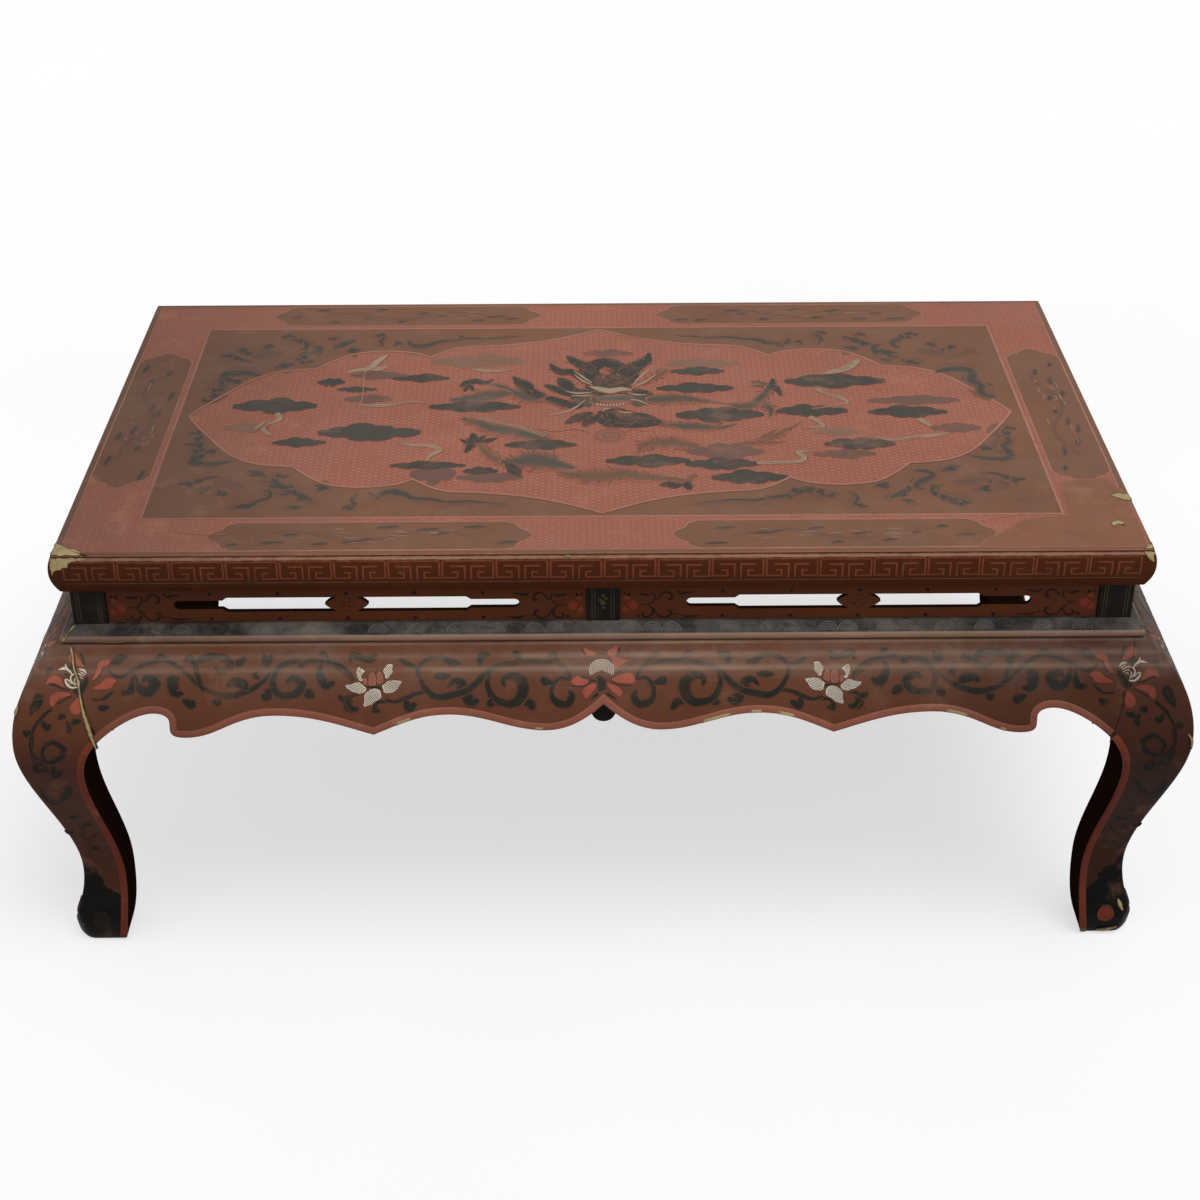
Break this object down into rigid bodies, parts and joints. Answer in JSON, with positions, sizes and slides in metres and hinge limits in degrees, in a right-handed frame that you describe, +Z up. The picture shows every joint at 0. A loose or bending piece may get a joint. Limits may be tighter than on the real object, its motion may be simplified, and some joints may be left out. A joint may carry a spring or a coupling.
{
  "type": "low lacquered table",
  "caption": "Low rectangular table of red, brown and black lacquered wood with bowed legs, scalloped aprons, a pierced waist and a framed, painted top.",
  "frame": {"origin": "centre of the footprint, on the floor under the feet", "axes": "+X along the table to the right, -Y towards the front, +Z up"},
  "size_m": [1.0304, 0.6354, 0.401],
  "materials": {
    "top_lacquer": "painted red and brown lacquer, satin",
    "edge_lacquer": "dark red lacquer, satin",
    "brown_lacquer": "brown-red lacquer with painted scrolls, satin",
    "grey_lacquer": "dusty black lacquer, matt",
    "black_lacquer": "black lacquer, satin",
    "bare_wood": "bare softwood, matt"
  },
  "bodies": {
    "root": {"top_lacquer_skin": "top_lacquer", "top_floating_panel": "bare_wood", "top_brace_left": "bare_wood", "top_brace_middle": "bare_wood", "top_brace_right": "bare_wood", "top_rail_front": "edge_lacquer", "waist_moulding_front": "grey_lacquer", "apron_front": "brown_lacquer", "top_rail_right": "edge_lacquer", "waist_moulding_right": "grey_lacquer", "apron_right": "brown_lacquer", "top_rail_back": "edge_lacquer", "waist_moulding_back": "grey_lacquer", "apron_back": "brown_lacquer", "top_rail_left": "edge_lacquer", "waist_moulding_left": "grey_lacquer", "apron_left": "brown_lacquer", "waist_panel_front_left": "edge_lacquer", "waist_batten_front_left": "bare_wood", "waist_panel_front_right": "edge_lacquer", "waist_batten_front_right": "bare_wood", "centre_post_front": "black_lacquer", "waist_panel_back_left": "edge_lacquer", "waist_batten_back_left": "bare_wood", "waist_panel_back_right": "edge_lacquer", "waist_batten_back_right": "bare_wood", "centre_post_back": "black_lacquer", "waist_panel_right": "edge_lacquer", "waist_batten_right": "bare_wood", "waist_panel_left": "edge_lacquer", "waist_batten_left": "bare_wood", "leg_front_right": "brown_lacquer", "leg_back_right": "brown_lacquer", "leg_back_left": "brown_lacquer", "leg_front_left": "brown_lacquer"}
  },
  "joints": []
}
